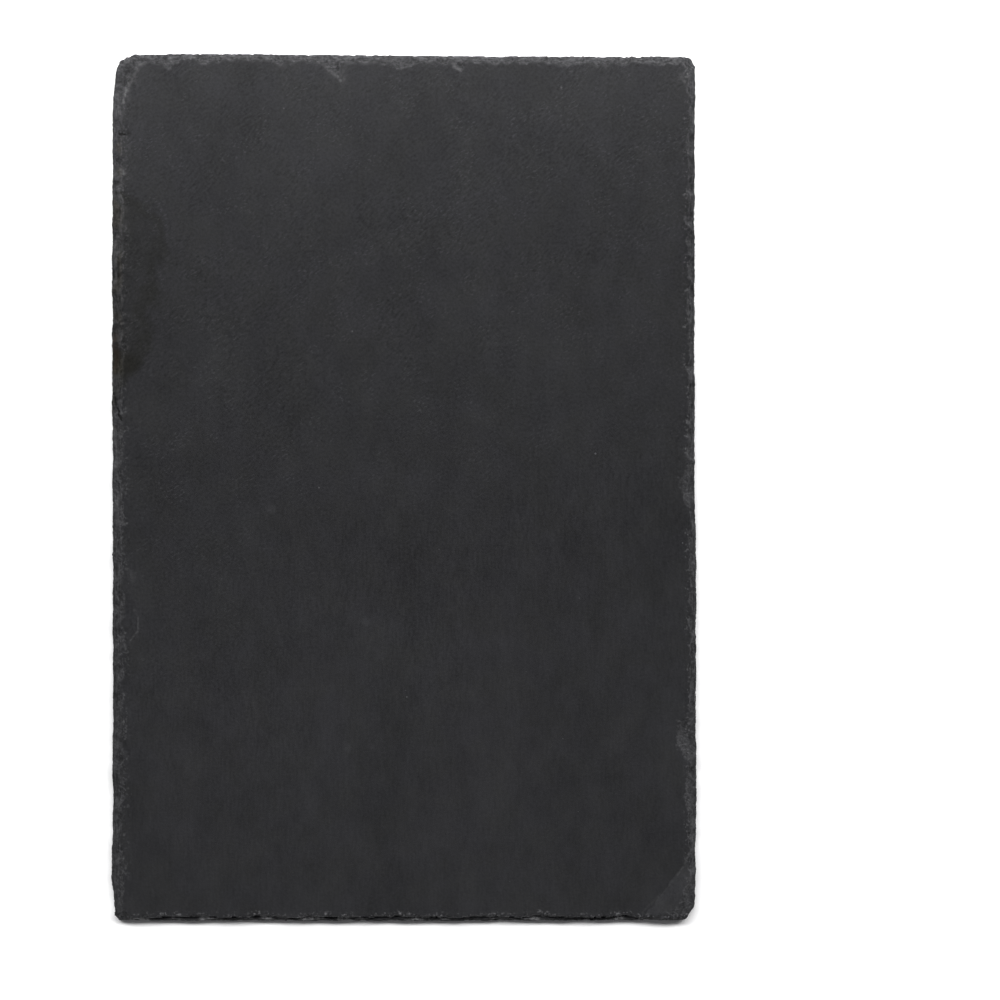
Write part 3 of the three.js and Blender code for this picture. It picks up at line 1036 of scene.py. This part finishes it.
def makeCrackGroup():    # how far a place is inside a crack that runs from one point to another
    tree, given, result = newGroup(
        "open crack",
        {"Place": "Vector", "From": "Vector", "To": "Vector", "Half width": "Float", "Thin": "Float"},
        {"Share": "Float"},
    )
    start = given.outputs["From"]
    away = vectorNode(tree, "SUBTRACT", given.outputs["Place"], start)
    away = vectorNode(tree, "MULTIPLY", away, (1, 1, 0))
    run = vectorNode(tree, "SUBTRACT", given.outputs["To"], start)
    alongRun, whole = (vectorNode(tree, "DOT_PRODUCT", vector, run) for vector in (away, run))
    part = mathNode(tree, "MAXIMUM", mathNode(tree, "DIVIDE", alongRun, whole), 0.0)
    part = mathNode(tree, "MINIMUM", part, 1.0)
    gap = vectorNode(tree, "LENGTH", vectorNode(tree, "SUBTRACT", away, scaleColour(tree, run, part)))
    half = product(tree, given.outputs["Half width"], given.outputs["Thin"])
    share = rangeNode(tree, gap, product(tree, half, 1.3), product(tree, half, 0.5))
    giveOut(tree, result, {"Share": share})
    return tree


stainValues = {
    "side": -101.2,         # the stained long side
    "low": 22.0,            # its ends along the side
    "high": 104.0,
    # how far in it reaches, from its low end to its high end, in mm
    "reach": [(0.0, 0.0), (0.13, 4.5), (0.22, 11.5), (0.32, 14.0), (0.50, 15.5), (0.64, 18.5),
              (0.80, 20.0), (0.88, 16.0), (1.0, 0.0)],
    "reachMost": 24.0,
    "softness": 3.5,
    "rimWidth": 7.0,
    "tint": (0.90, 0.90, 0.875, 1),
    "rimTint": (0.84, 0.84, 0.80, 1),
    "coreTint": (0.68, 0.67, 0.58, 1),
    "core": (-96.6, 42.4, 5.2, 4.4, 0.95),      # x, y, reach along each and softness
    "rustPatch": (-100.2, 46.5, 2.4, 7.0, 0.8),
    "rustGrain": (0.38, 0.60),
    "rustShare": 0.74,
    "edgeNoise": (9.0, 1.8),            # wide and narrow waves of the edges
    "edgeWeights": (12.0, 7.0),
    "patchWeights": (1.6, 1.2),
    "rust": (0.0150, 0.0104, 0.0074, 1),
}


def makeStainGroup():
    tree, given, result = newGroup(
        "damp stain",
        {"Place": "Vector", "Stone": "Color"},
        {"Stained": "Color"},
    )
    place, stone = given.outputs["Place"], given.outputs["Stone"]
    v = stainValues
    wideSize, narrowSize = v["edgeNoise"]
    waves = noiseNode(tree, place, wideSize, 0, 3, 11), noiseNode(tree, place, narrowSize, 0, 2, 12)
    xyz = separate(tree, place)
    inward = mathNode(tree, "SUBTRACT", xyz["X"], v["side"])
    inward = mathNode(tree, "ADD", inward, sumOf(tree, zip(waves, v["edgeWeights"])))
    along = tree.nodes.new("ShaderNodeMapRange")
    for value, socket in zip((xyz["Y"], v["low"], v["high"]), along.inputs):
        put(tree, value, socket)
    curve = tree.nodes.new("ShaderNodeFloatCurve")
    points = curve.mapping.curves[0].points
    for k, (share, reach) in enumerate(v["reach"]):
        height = reach / v["reachMost"]
        if k == 0:
            points[0].location = (share, height)
        elif k == len(v["reach"]) - 1:
            points[-1].location = (share, height)
        else:
            points.new(share, height)
    curve.mapping.update()
    tree.links.new(along.outputs["Result"], curve.inputs["Value"])
    within = mathNode(tree, "SUBTRACT", product(tree, curve.outputs[0], v["reachMost"]), inward)
    share = rangeNode(tree, within, 0.0, v["softness"])
    rim = product(tree, share, rangeNode(tree, within, v["softness"], v["rimWidth"], 1.0, 0.0))

    def patch(x, y, alongX, alongY, softness):    # an oval with an uneven edge
        dx = mathNode(tree, "DIVIDE", mathNode(tree, "SUBTRACT", xyz["X"], x), alongX)
        dy = mathNode(tree, "DIVIDE", mathNode(tree, "SUBTRACT", xyz["Y"], y), alongY)
        away = mathNode(tree, "ADD", mathNode(tree, "POWER", dx, 2.0), mathNode(tree, "POWER", dy, 2.0))
        away = mathNode(tree, "ADD", away, sumOf(tree, zip(waves, v["patchWeights"])))
        return rangeNode(tree, away, 1.0 + softness, 1.0 - softness)

    rust = product(tree, patch(*v["rustPatch"]), rangeNode(tree, waves[1], *v["rustGrain"]), v["rustShare"])
    colour = stone
    for part, tint in ((share, v["tint"]), (rim, v["rimTint"]), (patch(*v["core"]), v["coreTint"])):
        colour = mixNode(tree, part, colour, mixNode(tree, 1.0, colour, tint, "MULTIPLY"))
    giveOut(tree, result, {"Stained": mixNode(tree, rust, colour, v["rust"])})
    return tree


slateValues = {
    "face": (0.0168, 0.0169, 0.0183, 1),
    "faceWarm": (0.0168, 0.0169, 0.0177, 1),
    "nearEnd": (-5.0, -70.0, 1.0, 1.10),       # painted light: the face is painted a little paler towards this end, in place of fill light there
    "dimSide": (-98.0, 62.0, 8.0, 46.0, 0.90, 1.0),     # and a little darker round this place
    "flake": 1.46,          # the corner flake's floor is this much paler than the face
    "flakePlain": 0.98,     # and the other flakes'
    "flakeSide": (0.0, 1.0),
    "flakeRim": (0.0, 0.10),
    "faceDrift": (12.0, 2, 26, 0.35, 0.65),
    "broken": (0.0287, 0.0287, 0.0303, 1),
    "brokenWarm": (0.0304, 0.0287, 0.0261, 1),
    "rightSide": (90.0, 97.0, 1.0, 1.06),       # the broken stone is paler on this side
    "speck": (0.095, 0.095, 0.098, 1),
    "warmSide": (-96.0, -99.0),         # the broken stone is stained warm on one long side alone
    "warmLow": (12.0, 28.0),
    "warmHigh": (126.0, 116.0),
    "warmTint": (0.48, 0.60),
    "farSpan": (141.0, 147.0),
    "farEndHighlight": 1.03,         # and is most crumbled at the far end, and painted palest there as a painted highlight from the light beyond that end
    "farCrumble": 2.0,
    "farArrisHighlight": 1.38,        # the painted highlight is strongest on its outermost arris
    "arrisSpan": (2.2, 0.2),
    "markHeight": (6.0, 50.0),          # the faint marks lie at the face, and reach down the sides
    # painted highlight: the colour of the rims and slivers that catch the light
    "lit": (0.075, 0.075, 0.077, 1),
    "litPatches": (1.1, 2, 21, 0.36, 0.62, 0.25, 1.0),
    "fleck": (0.055, 0.055, 0.058, 1),
    # painted shade: near black for the shade inside the open cracks and the gap
    "crack": (0.004, 0.004, 0.004, 1),
    "crackJog": [(2.8, 17, 1.6), (0.8, 19, 0.8)],       # size of a jog, seed and weight
    "crackJogReach": (0.8, 0.8, 0),
    "crackThin": (1.6, 1, 20, 0.35, 0.65, 0.35, 1.15),
    "gapShade": (1.5, 2, 25, 0.36, 0.60, 0.12, 0.62),
    "faceRoughness": 0.52,
    "brokenRoughness": 0.82,
    "grainShine": -0.25,    # paler grains are a little smoother
    "specular": 0.25,
}


def makeSlateMaterial():
    material = bpy.data.materials.new("riven slate")
    material.use_nodes = True
    tree = material.node_tree
    shader = tree.nodes["Principled BSDF"]
    v = slateValues
    place = scaleColour(tree, tree.nodes.new("ShaderNodeTexCoord").outputs["Object"], 1 / mm)
    xyz = separate(tree, place)
    edgeIn = attribute(tree, "edgeIn")
    around = tree.nodes.new("ShaderNodeCombineXYZ")
    circle = attribute(tree, "roundCosine"), attribute(tree, "roundSine")
    for value, socket in zip((*circle, edgeIn), around.inputs):
        tree.links.new(value, socket)
    grain = placeGroup(tree, makeGrainGroup(), {"Place": place})
    broken = placeGroup(tree, makeBrokenGroup(), {
        "Place": place, "Round": around.outputs[0], "Gone": attribute(tree, "stoneGone"),
        "Scar": attribute(tree, "onScar"),
        "Crumble": rangeNode(tree, xyz["Y"], *v["farSpan"], 1.0, v["farCrumble"]),
    })

    # the split face and its flakes
    flakeFloor = rangeNode(tree, xyz["X"], *v["flakeSide"], v["flakePlain"], v["flake"])
    flakeTone = rangeNode(tree, attribute(tree, "flakeGone"), *v["flakeRim"], 1.0, flakeFloor)
    dimX, dimY, *dimSpan = v["dimSide"]
    dimTone = rangeNode(tree, vectorNode(tree, "DISTANCE", place, (dimX, dimY, 0)), *dimSpan)
    # painted light standing in for fill light at the near end
    paintedEndLight = rangeNode(tree, xyz["Y"], *v["nearEnd"])
    face = mixNode(tree, patchNode(tree, place, v["faceDrift"]), v["face"], v["faceWarm"])
    face = scaleColour(tree, face, product(tree, grain["Tone"], flakeTone, dimTone, paintedEndLight))
    face = mixNode(tree, grain["Fleck"], face, v["fleck"])

    # the broken stone round it
    warm = product(
        tree, rangeNode(tree, broken["Tint"], *v["warmTint"]), rangeNode(tree, xyz["X"], *v["warmSide"]),
        rangeNode(tree, xyz["Y"], *v["warmLow"]), rangeNode(tree, xyz["Y"], *v["warmHigh"]),
    )
    fresh = mixNode(tree, warm, v["broken"], v["brokenWarm"])
    fromArris = mathNode(tree, "ABSOLUTE", edgeIn)
    # painted highlight: at the far end the broken stone is painted paler, most on the outermost arris, where
    # the light beyond that end falls
    farHighlight = rangeNode(tree, fromArris, *v["arrisSpan"], v["farEndHighlight"], v["farArrisHighlight"])
    farHighlight = rangeNode(tree, xyz["Y"], *v["farSpan"], 1.0, farHighlight)
    # this holds the painted highlight at the far end and the paler broken stone on the right side
    paler = mathNode(tree, "MAXIMUM", farHighlight, rangeNode(tree, xyz["X"], *v["rightSide"]))
    fresh = scaleColour(tree, fresh, product(tree, broken["Tone"], paler))

    # faint marks, painted highlights on the rims, loose grains and the stain lie over both
    marked = 1.0
    markGroup = makeMarkGroup()
    markHeight, markDrop = v["markHeight"]
    for x, y, breadth, length, strength in faintMarks:
        mark = placeGroup(tree, markGroup, {
            "Place": place, "Centre": (x, y, markHeight), "Size": (breadth, length, markDrop),
            "Strength": strength,
        })
        marked = mathNode(tree, "ADD", marked, mark["Tone"])
    stone = scaleColour(tree, mixNode(tree, broken["Share"], face, fresh), marked)
    # painted highlight on the rims and slivers, in patches
    lit = attribute(tree, "paintedHighlight")
    shine = product(tree, mathNode(tree, "MINIMUM", lit, 1.0), patchNode(tree, place, v["litPatches"]))
    stone = mixNode(tree, shine, stone, scaleColour(tree, v["lit"], mathNode(tree, "MAXIMUM", lit, 1.0)))
    specks = product(tree, broken["Speck"], attribute(tree, "crumbBand"))
    stone = mixNode(tree, specks, stone, v["speck"])
    stained = placeGroup(tree, makeStainGroup(), {"Place": place, "Stone": stone})

    # painted shade: the open cracks and the gap along the near end are painted darkest, for the shade that
    # falls inside them
    jogs = [(noiseNode(tree, place, size, 0, 1, seed), weight) for size, seed, weight in v["crackJog"]]
    jogged = vectorNode(tree, "ADD", place, scaleColour(tree, v["crackJogReach"], sumOf(tree, jogs)))
    thin = patchNode(tree, place, v["crackThin"])
    inCrackShade = product(tree, attribute(tree, "creviceShade"), patchNode(tree, place, v["gapShade"]))
    crackGroup = makeCrackGroup()
    for start, end, halfWidth, depth in cracks:
        crack = placeGroup(tree, crackGroup, {
            "Place": jogged, "From": (*start, 0), "To": (*end, 0), "Half width": halfWidth, "Thin": thin,
        })
        inCrackShade = mathNode(tree, "MAXIMUM", inCrackShade, product(tree, crack["Share"], min(1.0, depth)))
    put(tree, mixNode(tree, inCrackShade, stained["Stained"], v["crack"]), shader.inputs["Base Color"])

    worn = rangeNode(tree, broken["Share"], 0, 1, v["faceRoughness"], v["brokenRoughness"])
    paleness = mathNode(tree, "SUBTRACT", grain["Tone"], 1.0)
    put(tree, mathNode(tree, "MULTIPLY_ADD", paleness, v["grainShine"], worn), shader.inputs["Roughness"])
    shader.inputs["Specular IOR Level"].default_value = v["specular"]

    bump = tree.nodes.new("ShaderNodeBump")
    bump.inputs["Strength"].default_value = 1.0
    bump.inputs["Distance"].default_value = mm
    put(tree, mathNode(tree, "ADD", grain["Height"], broken["Height"]), bump.inputs["Height"])
    tree.links.new(bump.outputs["Normal"], shader.inputs["Normal"])
    return material


slab.data.materials.clear()
slab.data.materials.append(makeSlateMaterial())

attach(slab, "root")
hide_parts("slate_slab")

studioValues = {
    "floorSize": 6.0,
    "floorGlow": 0.02,               # a light table, so that the floor stays white
    "cameraDistance": 2.6,
    "pictureWidth": 0.3458,          # metres of floor across the picture
    "aimX": 0.0332,
    "aimY": -0.00435,
    "lights": [                      # name, place, size, power, and whether the stone's gloss shows it
        ("overhead strip", (0.0, 0.90, 2.0), (3.2, 0.6), 69.5, False),
        ("left strip", (-1.5, 0.8, 1.3), (0.6, 1.8), 13.9, False),
        ("right strip", (1.5, 0.8, 1.3), (0.6, 1.8), 13.9, False),
        ("near strip", (0.0, 0.195, 0.075), (1.2, 0.05), 0.80, True),
    ],
    "skyColour": (0.95, 0.94, 1.0, 1),
    "skyStrength": 0.09,
}


def addFloor():
    bpy.ops.object.select_all(action="DESELECT")
    bpy.ops.mesh.primitive_plane_add(size=studioValues["floorSize"], location=(0, 0, 0))
    floor = bpy.context.object
    floor.name = "floor"
    material = bpy.data.materials.new("white floor")
    material.use_nodes = True
    shader = material.node_tree.nodes["Principled BSDF"]
    shader.inputs["Base Color"].default_value = (0.92, 0.92, 0.92, 1)
    shader.inputs["Roughness"].default_value = 0.9
    shader.inputs["Specular IOR Level"].default_value = 0.1
    shader.inputs["Emission Color"].default_value = (1, 1, 1, 1)
    shader.inputs["Emission Strength"].default_value = studioValues["floorGlow"]
    floor.data.materials.append(material)


def addLight(name, place, size, power, inGloss):
    data = bpy.data.lights.new(name, "AREA")
    data.shape = "RECTANGLE"
    data.size, data.size_y = size
    data.energy = power
    light = bpy.data.objects.new(name, data)
    light.location = place
    light.rotation_euler = (-Vector(place)).to_track_quat("-Z", "Y").to_euler()
    light.visible_glossy = inGloss
    light.visible_camera = False
    bpy.context.collection.objects.link(light)


def addCamera():
    data = bpy.data.cameras.new("camera")
    data.sensor_width = 36
    data.lens = 36 * studioValues["cameraDistance"] / studioValues["pictureWidth"]
    data.clip_end = 20
    camera = bpy.data.objects.new("camera", data)
    camera.location = (studioValues["aimX"], studioValues["aimY"], studioValues["cameraDistance"])
    bpy.context.collection.objects.link(camera)
    bpy.context.scene.camera = camera


def addSky():
    world = bpy.data.worlds.new("studio")
    world.use_nodes = True
    background = world.node_tree.nodes["Background"]
    background.inputs["Color"].default_value = studioValues["skyColour"]
    background.inputs["Strength"].default_value = studioValues["skyStrength"]
    bpy.context.scene.world = world


addFloor()
for light in studioValues["lights"]:
    addLight(*light)
addSky()
bpy.context.scene.view_settings.view_transform = "Standard"
addCamera()
print("studio ready")
